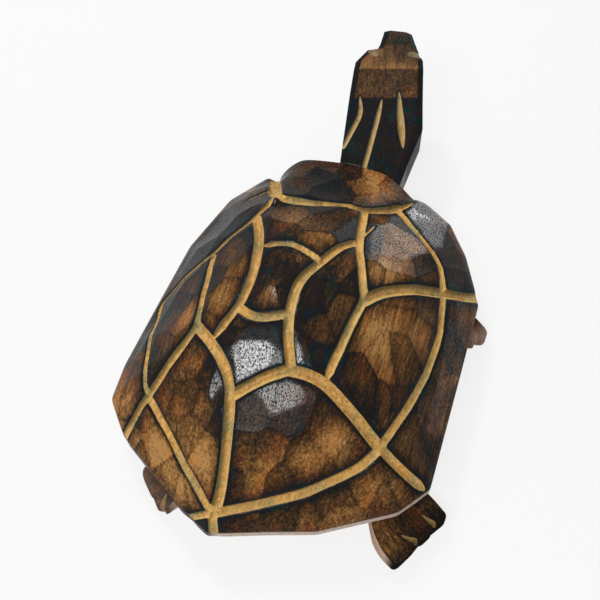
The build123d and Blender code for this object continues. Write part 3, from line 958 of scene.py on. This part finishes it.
def bar_columns(top_count, side_count, bottom_count, corner_count):
    """How the points round a bar's eight-sided section are made, one column each.

    A point's offset across is the half width times the first row plus the corner's cut times the
    second, and its offset upwards is the half height and the cut times the other two rows.
    """
    corners = np.array([
        (-1, 0, 1, -1), (-1, 1, 1, 0), (1, -1, 1, 0), (1, 0, 1, -1),
        (1, 0, -1, 1), (1, -1, -1, 0), (-1, 1, -1, 0), (-1, 0, -1, 1),
    ], float)
    counts = (
        corner_count, top_count, corner_count, side_count,
        corner_count, bottom_count, corner_count, side_count,
    )
    sides = [
        start + np.linspace(0, 1, count, endpoint=False)[:, None] * (end - start)
        for start, end, count in zip(corners, np.roll(corners, -1, axis=0), counts)
    ]
    return np.vstack(sides).T


def bar_rings(root, heading, stations, left, right, top, bottom, corner, corner_drop, columns):
    """Rings of a bar along a heading in plan: at each station its two sides, top and bottom.

    Its corners are cut off by one length across and another downwards.
    """
    middle, half = (left + right) / 2, (left - right) / 2
    centre, rise = (top + bottom) / 2, (top - bottom) / 2
    across = middle[:, None] + half[:, None] * columns[0] + corner * columns[1]
    upward = centre[:, None] + rise[:, None] * columns[2] + corner_drop * columns[3]
    forward = np.array((math.cos(heading), math.sin(heading)))
    sideways = np.array((-math.sin(heading), math.cos(heading)))
    plan = root + stations[:, None, None] * forward + across[..., None] * sideways
    return np.dstack([plan, upward])


def neck_top(x, y):
    """Height of the neck's top, which changes only along the neck, its cross lines a little skewed."""
    offset = np.stack([x, y], axis=-1) - neck_root
    return np.interp(offset @ neck_along + cross_skew * (offset @ neck_across), *neck_top_line.T)


tenon_rings_count = 12
neck_rings_count = 190
snout_rings_count = 7
snout_angles = np.linspace(0, math.pi / 2, snout_rings_count)[1:]
neck_stations = np.concatenate([
    np.linspace(0, shoulder_length, tenon_rings_count),
    np.linspace(shoulder_length + neck_step, neck_length - snout_round, neck_rings_count),
    neck_length - snout_round + snout_round * np.sin(snout_angles),
])
snout_past = np.clip((neck_stations - neck_length + snout_round) / snout_round, 0, 1)
snout_shrink = snout_shrink_share * snout_round * (1 - np.sqrt(1 - snout_past**2))
neck_shares = neck_stations / neck_length
neck_left = np.interp(neck_shares, *np.array(neck_left_shares).T) * neck_width / 2 - snout_shrink
neck_right = np.interp(neck_shares, *np.array(neck_right_shares).T) * neck_width / 2 + snout_shrink
neck_heights = np.interp(neck_stations, *neck_top_line.T)
neck_columns = bar_columns(top_count=64, side_count=14, bottom_count=24, corner_count=5)
neck_rings = bar_rings(
    neck_root, neck_turn, neck_stations, neck_left, neck_right,
    neck_heights - snout_shrink,
    np.interp(neck_stations, *neck_bottom_line.T) + snout_shrink,
    neck_corner, neck_corner_drop, neck_columns,
)
neck_over = (neck_rings[..., :2] - neck_root) @ neck_across
skewed_stations = neck_stations[:, None] + cross_skew * neck_over
skew_rise = np.interp(skewed_stations, *neck_top_line.T) - neck_heights[:, None]
past_tenon = smooth_step(tenon_length, tenon_length + neck_corner, neck_stations)[:, None]
neck_rings[..., 2] = neck_rings[..., 2] + past_tenon * skew_rise * (neck_columns[2] > 0)
neck_points = neck_rings.reshape(-1, 3)
slot_cut, slot_distance, slot_wall = gouge_cuts(
    neck_points,
    [
        (pixels_on(neck_top, cut_corners(np.array(pixels, float))), width, first_fade, last_fade)
        for width, first_fade, last_fade, pixels in neck_slots.values()
    ],
    slot_depth_share,
)
eye_cut, eye_distance, _ = gouge_cuts(
    neck_points,
    [
        (pixels_on(neck_top, pixels), width, first_fade, last_fade)
        for width, first_fade, last_fade, pixels in eye_nicks.values()
    ],
    eye_depth_share,
)
neck_cut = np.maximum(slot_cut, eye_cut).reshape(neck_rings.shape[:2])
neck_carved = neck_rings - neck_cut[..., None] * ring_normals(neck_rings)

# The head's zones along the neck, from picture pixels on its middle line, how light each is and how
# thick its varnish lies. The sides are darker, the varnish is dull round the eyes, and the snout's
# right is shaded.
zone_pixels = [(386, 99), (386, 97), (388, 70), (389, 68), (391, 62), (393, 46), (394, 43)]
zone_stains = [0.00, 0.46, 0.42, 0.74, 0.61, 0.56, 0.32]
zone_glosses = [0.20, 0.55, 0.55, 0.80, 0.80, 0.60, 0.60]
neck_side_share = 0.10
gloss_margin_columns = 2
eye_dull_reach = 0.0015
eye_bare_edge = (-0.0003, 0.0001)
snout_shade_pixel = (405, 50)
snout_shade_radius = 0.006
snout_shade = 0.25
neck_line_wood = paint(200, 158, 96)
neck_bare_wood = paint(168, 152, 122)
zone_offsets = pixels_on(neck_top, zone_pixels)[:, :2] - neck_root
zone_places = zone_offsets @ neck_along + cross_skew * (zone_offsets @ neck_across)
neck_stain = np.interp(skewed_stations, zone_places, zone_stains)
neck_gloss = np.interp(skewed_stations, zone_places, zone_glosses)
on_top = np.isclose(neck_columns[2], 1) & np.isclose(neck_columns[3], 0)
inner_top = on_top & np.roll(on_top, gloss_margin_columns) & np.roll(on_top, -gloss_margin_columns)
neck_stain = np.where(on_top, neck_stain, neck_side_share * neck_stain)
neck_gloss = np.where(inner_top, neck_gloss, plain_gloss)
neck_gloss = neck_gloss * smooth_step(0, eye_dull_reach, eye_distance).reshape(neck_gloss.shape)
off_shade = np.linalg.norm(neck_rings - pixels_on(neck_top, [snout_shade_pixel]), axis=2)
neck_stain = neck_stain - snout_shade * np.exp(-((off_shade / snout_shade_radius) ** 2))
neck_stain = np.clip(neck_stain, 0, 1)
neck = skin(
    "carved_neck",
    neck_carved,
    neck_carved[0].mean(axis=0),
    neck_carved[-1].mean(axis=0),
    {
        "stain": neck_stain,
        "line": np.minimum(slot_distance, line_far).reshape(neck_stain.shape),
        "wall": slot_wall.reshape(neck_stain.shape),
        "bare": 1 - smooth_step(*eye_bare_edge, eye_distance).reshape(neck_stain.shape),
        "gloss": neck_gloss,
    },
)
neck.data.materials.append(carved_material(
    "neck_finish", neck_line_wood, neck_bare_wood,
    tint=1.0, bump=0.25, sheen=0.006, grain_heading=neck_turn,
))
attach(neck, "root")
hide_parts("head_and_neck")

# Legs: four slabs sawn from thin board, let into the belly board and sloping down to a flat sole.
# Their tops are stained dark, the sawn sides stay bare, and two gouge strokes part the toes.
leg_toe_shares = {
    "front_left_leg": (0.78, 0.66),
    "front_right_leg": (0.33, -1.01),
    "rear_left_leg": (-0.84, 0.55),
    "rear_right_leg": (-0.70, -1.05),
}
leg_root_shares = {
    "front_left_leg": (0.38, 0.13),
    "front_right_leg": (0.60, -0.42),
    "rear_left_leg": (-0.39, 0.12),
    "rear_right_leg": (-0.42, -0.41),
}
# Each foot: its left and right side at the toes, how far its middle reaches past the sawn length, how
# much further its left reaches for each metre across, the radius of its corners, how dark its tip is and
# how far the tip's stain is worn through
feet = {
    "front_left_leg": (0.0110, -0.0110, 0.0, 0.0, 0.0030, 0.05, 0.0),
    "front_right_leg": (0.0079, -0.0022, 0.0034, 0.15, 0.0030, 0.10, 0.50),
    "rear_left_leg": (0.0084, -0.0098, 0.0018, 0.18, 0.0026, 0.10, 0.20),
    "rear_right_leg": (0.0116, -0.0158, 0.0, 0.0, 0.0018, 0.26, 0.0),
}
# Each toe stroke: how far behind the toes and across it starts, where across it ends, and whether it
# shows pale wood
toe_cuts = {
    "front_left_leg": [(0.0065, -0.0040, -0.0050, True), (0.0065, 0.0055, 0.0040, True)],
    "front_right_leg": [(0.0120, 0.0028, 0.0022, True), (0.0120, -0.0014, -0.0010, False)],
    "rear_left_leg": [(0.0045, -0.0020, 0.0016, False), (0.0055, 0.0040, 0.0070, True)],
    "rear_right_leg": [(0.0067, 0.0040, 0.0054, True), (0.0064, -0.0071, -0.0041, True)],
}
leg_width = 0.019
leg_thickness = 0.007
leg_bend_share = 0.55
sole_share = 0.28
leg_corner = 0.0007
toe_ease = 0.012
toe_notch = 0.0015
toe_notch_width = 0.0015
toe_spread_rate = 1.3
toe_edge_round = 0.0014
toe_cut_width = 0.0022
toe_cut_foot = 0.0012
toe_cut_fade = 0.005
toe_cut_depth_share = 0.42
leg_line_sharpness = 5.0
sole_round_share = 0.4
leg_rings_count = 90
corner_rings_count = 18
end_rings_count = 12
leg_top_stain = 0.32
leg_side_stain = 0.30
rubbed_stain = 0.22
rubbed_shares = (0.15, 0.75)
sole_bare = 0.6
toe_dark_start = 0.006
toe_dark_end = 0.001
leg_line_wood = paint(158, 122, 70)
leg_bare_wood = paint(226, 190, 170)
leg_columns = bar_columns(top_count=56, side_count=10, bottom_count=24, corner_count=3)
leg_top_column = np.isclose(leg_columns[2], 1) & np.isclose(leg_columns[3], 0)
leg_side_column = np.isclose(np.abs(leg_columns[0]), 1) & np.isclose(leg_columns[1], 0)
leg_bottom_column = np.isclose(leg_columns[2], -1) & np.isclose(leg_columns[3], 0)
corner_angles = np.linspace(0, math.pi / 2, corner_rings_count)[1:]

for leg_name, (left_side, right_side, reach, slant, corner_radius, darkening, wear) in feet.items():
    leg_root = shell_middle[:2] + np.array(leg_root_shares[leg_name]) * shell_half[:2]
    leg_toe = shell_middle[:2] + np.array(leg_toe_shares[leg_name]) * shell_half[:2]
    leg_length = np.linalg.norm(leg_toe - leg_root)
    leg_heading = math.atan2(*(leg_toe - leg_root)[::-1])
    leg_bend = leg_bend_share * leg_length
    leg_stations = np.concatenate([
        np.linspace(0, leg_length - corner_radius, leg_rings_count),
        leg_length - corner_radius + corner_radius * np.sin(corner_angles),
    ])
    round_past = np.clip((leg_stations - leg_length + corner_radius) / corner_radius, 0, 1)
    edge_past = np.clip((leg_stations - leg_length + toe_edge_round) / toe_edge_round, 0, 1)
    spread_share = toe_spread_rate * (leg_stations - leg_bend) / (leg_length - leg_bend)
    spread = np.sin(math.pi / 2 * np.clip(spread_share, 0, 1))
    corner_round = corner_radius * (1 - np.sqrt(1 - round_past**2))
    leg_left = leg_width / 2 + (left_side - leg_width / 2) * spread - corner_round
    leg_right = -leg_width / 2 + (right_side + leg_width / 2) * spread + corner_round
    edge_drop = toe_edge_round * (1 - np.sqrt(1 - edge_past**2))
    leg_top = np.interp(leg_stations, [leg_bend, leg_length], [shell_low[2], leg_thickness]) - edge_drop
    leg_bottom = np.interp(
        leg_stations, [leg_bend, leg_length * (1 - sole_share)], [shell_low[2] - leg_thickness, 0]
    ) + sole_round_share * edge_drop
    leg_rings = bar_rings(
        leg_root, leg_heading, leg_stations, leg_left, leg_right, leg_top, leg_bottom,
        leg_corner, leg_corner, leg_columns,
    )
    leg_forward = np.array((math.cos(leg_heading), math.sin(leg_heading)))
    leg_sideways = np.array((-leg_forward[1], leg_forward[0]))
    leg_across = (leg_rings[..., :2] - leg_root) @ leg_sideways
    toe_shift = reach + slant * leg_across
    for _, _, cut_across, _ in toe_cuts[leg_name]:
        toe_shift = toe_shift - toe_notch * np.exp(-(((leg_across - cut_across) / toe_notch_width) ** 2))
    toe_share = smooth_step(leg_length - toe_ease, leg_length, leg_stations)[:, None]
    leg_rings[..., :2] = leg_rings[..., :2] + (toe_share * toe_shift)[..., None] * leg_forward
    end_shares = np.linspace(1, 0, end_rings_count + 2)[1:-1, None, None]
    end_middle = leg_rings[-1].mean(axis=0)
    leg_rings = np.concatenate([leg_rings, end_middle + end_shares * (leg_rings[-1] - end_middle)])
    leg_stations = np.append(leg_stations, np.full(end_rings_count, leg_length))
    leg_points = leg_rings.reshape(-1, 3)
    leg_cut = np.zeros(len(leg_points))
    cut_distance = np.full(len(leg_points), line_far)
    for behind, from_across, to_across, shows_pale in toe_cuts[leg_name]:
        cut_along = leg_length - np.array((behind, toe_notch, toe_notch))
        cut_across = np.array((from_across, to_across, to_across))
        cut_reach = cut_along + reach + slant * cut_across
        cut_plan = leg_root + cut_reach[:, None] * leg_forward + cut_across[:, None] * leg_sideways
        cut_height = np.interp(cut_along, [leg_bend, leg_length], [shell_low[2], leg_thickness])
        cut_height[2] = toe_cut_foot
        cut_line = np.column_stack([cut_plan, cut_height])
        depth, outside, _ = gouge_cut(
            leg_points, cut_line, toe_cut_width, toe_cut_fade, 0, toe_cut_depth_share
        )
        leg_cut = np.maximum(leg_cut, depth)
        if shows_pale:
            sharpened_distance = outside * np.where(outside > 0, leg_line_sharpness, 1)
            cut_distance = np.minimum(cut_distance, sharpened_distance)
    leg_carved = leg_rings - leg_cut.reshape(leg_rings.shape[:2])[..., None] * ring_normals(leg_rings)
    toe_dark = smooth_step(leg_length - toe_dark_start, leg_length - toe_dark_end, leg_stations)[:, None]
    rubbed = rubbed_stain * smooth_step(*rubbed_shares, -leg_columns[0])
    leg_stain = np.where(leg_top_column, leg_top_stain + rubbed, leg_side_stain) - darkening * toe_dark
    leg_bare = np.where(leg_side_column, 1.0, np.where(leg_bottom_column, sole_bare, 0.0))
    leg_bare = np.maximum(leg_bare * (1 - toe_dark), wear * toe_dark)
    leg = skin(
        "carved_" + leg_name,
        leg_carved,
        leg_carved[0].mean(axis=0),
        leg_carved[-1].mean(axis=0),
        {"stain": leg_stain, "line": cut_distance.reshape(leg_stain.shape), "bare": leg_bare},
    )
    leg.data.materials.append(carved_material(
        leg_name + "_finish", leg_line_wood, leg_bare_wood,
        tint=0.4, bump=0.7, sheen=0.0, grain_heading=leg_heading,
    ))
    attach(leg, "root")
    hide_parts(leg_name)

# Belly board and pegs: a sanded board that closes the shell from below, and round pegs driven up
# through it. Both are left bare, the board grained along the body and the pegs along their length.


def sanded_grain_group():
    """Bare sanded wood with its fibres along X: light and dark streaks, and shallow pores as height."""
    tree, given = open_group(
        "sanded_grain",
        {"Coordinates": "Vector", "Light Wood": "Color", "Dark Wood": "Color"},
        {"Color": "Color", "Roughness": "Float", "Height": "Float"},
    )
    coordinates = given["Coordinates"]
    rings = stretched_noise(tree, coordinates, (12, 160, 160), 3)
    fibres = stretched_noise(tree, coordinates, (70, 1400, 1400), 4)
    pores = stretched_noise(tree, coordinates, (260, 2600, 2600), 2)
    fibre_contrast = 0.9
    ring_contrast = 1.1
    darkest = -0.25
    pit_darkening = 0.35
    pit_height = -0.5
    sanded_roughness = 0.5
    fibre_roughness = 0.2
    fibre_light = calculate(tree, "MULTIPLY_ADD", fibres, fibre_contrast, darkest)
    light = calculate(tree, "MULTIPLY_ADD", rings, ring_contrast, fibre_light, clamp=True)
    wood = mixed(tree, light, given["Dark Wood"], given["Light Wood"])
    pits = sharpened(tree, pores, 6.0, -3.6)
    colour = mixed(tree, calculate(tree, "MULTIPLY", pits, pit_darkening), wood, given["Dark Wood"])
    rough = calculate(tree, "MULTIPLY_ADD", fibres, fibre_roughness, sanded_roughness)
    height = calculate(tree, "MULTIPLY_ADD", pits, pit_height, fibres)
    add_node(tree, "NodeGroupOutput", {"Color": colour, "Roughness": rough, "Height": height})
    return tree


sanded_grain = sanded_grain_group()


def sanded_material(name, light_wood, dark_wood, turn):
    """Bare sanded wood, its fibres turned from X by a rotation."""
    material, tree, wood = grained_material(
        name, sanded_grain, turn, {"Light Wood": light_wood, "Dark Wood": dark_wood}
    )
    relief = add_node(tree, "ShaderNodeBump", {
        "Height": wood.outputs["Height"], "Strength": 0.35, "Distance": 0.0003,
    })
    surface = add_node(tree, "ShaderNodeBsdfPrincipled", {
        "Base Color": wood.outputs["Color"],
        "Roughness": wood.outputs["Roughness"],
        "Normal": relief.outputs[0],
    })
    add_node(tree, "ShaderNodeOutputMaterial", {"Surface": surface.outputs[0]})
    return material


along_body = (0.0, 0.0, 0.0)
upright = (0.0, math.pi / 2, 0.0)
board_finish = sanded_material(
    "board_finish", light_wood=paint(190, 152, 112), dark_wood=paint(138, 100, 68), turn=along_body
)
peg_finish = sanded_material(
    "peg_finish", light_wood=paint(214, 182, 138), dark_wood=paint(160, 122, 82), turn=upright
)
for node_name, finish in (
    ("belly_board", board_finish),
    ("leg_dowels", peg_finish),
    ("neck_dowels", peg_finish),
    ("board_dowels", peg_finish),
):
    node_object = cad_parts[node_name]
    node_object.data.materials.clear()
    node_object.data.materials.append(finish)

# Floor and light: a white floor that keeps a soft shadow, a small softbox high ahead on the turtle's
# left, a long one high behind it, a low wide one ahead on its right, and a dim even surround.
floor_half = 3.0
floor_level = -0.0002
floor_white_share = 0.8
paper_colour = (0.9, 0.9, 0.9, 1.0)
white = (1.0, 1.0, 1.0, 1.0)
surround_strength = 0.28
floor_mesh = bpy.data.meshes.new("floor")
floor_mesh.from_pydata(
    [
        (-floor_half, -floor_half, floor_level), (floor_half, -floor_half, floor_level),
        (floor_half, floor_half, floor_level), (-floor_half, floor_half, floor_level),
    ],
    [], [(0, 1, 2, 3)],
)
floor = bpy.data.objects.new("floor", floor_mesh)
bpy.context.scene.collection.objects.link(floor)
floor_material = bpy.data.materials.new("floor_paper")
floor_material.use_nodes = True
floor_tree = floor_material.node_tree
floor_tree.nodes.clear()
floor_paper = add_node(floor_tree, "ShaderNodeBsdfDiffuse", {"Color": paper_colour})
floor_white = add_node(floor_tree, "ShaderNodeEmission", {"Color": white, "Strength": 1.0})
floor_path = floor_tree.nodes.new("ShaderNodeLightPath")
floor_seen = floor_path.outputs["Is Camera Ray"]
for ray_kind in ("Is Glossy Ray", "Is Transmission Ray"):
    floor_seen = calculate(floor_tree, "MAXIMUM", floor_seen, floor_path.outputs[ray_kind])
floor_share = calculate(floor_tree, "MULTIPLY", floor_seen, floor_white_share)
floor_mix = add_node(floor_tree, "ShaderNodeMixShader", {
    0: floor_share, 1: floor_paper.outputs[0], 2: floor_white.outputs[0],
})
add_node(floor_tree, "ShaderNodeOutputMaterial", {"Surface": floor_mix.outputs[0]})
floor_mesh.materials.append(floor_material)


def softbox(name, place, target, width, height, power):
    """An area light of a width, height and power at a place, facing a target."""
    light = bpy.data.lights.new(name, "AREA")
    light.shape = "RECTANGLE"
    light.size = width
    light.size_y = height
    light.energy = power
    box = bpy.data.objects.new(name, light)
    box.location = place
    box.rotation_euler = (Vector(place) - Vector(target)).to_track_quat("Z", "Y").to_euler()
    bpy.context.scene.collection.objects.link(box)


softbox("key_light", (0.42, 0.42, 0.76), (-0.03, 0.0, 0.05), width=0.16, height=0.16, power=3.0)
softbox("rear_light", (-0.61, 0.08, 0.79), (-0.07, 0.0, 0.055), width=0.64, height=0.20, power=4.0)
softbox("front_light", (0.90, -0.24, 0.16), (0.0, 0.0, 0.04), width=0.46, height=0.30, power=1.5)

world = bpy.data.worlds.new("surround")
bpy.context.scene.world = world
world.use_nodes = True
world_tree = world.node_tree
world_tree.nodes.clear()
world_light = add_node(
    world_tree, "ShaderNodeBackground", {"Color": white, "Strength": surround_strength}
)
add_node(world_tree, "ShaderNodeOutputWorld", {"Surface": world_light.outputs[0]})
bpy.context.scene.view_settings.view_transform = "Standard"
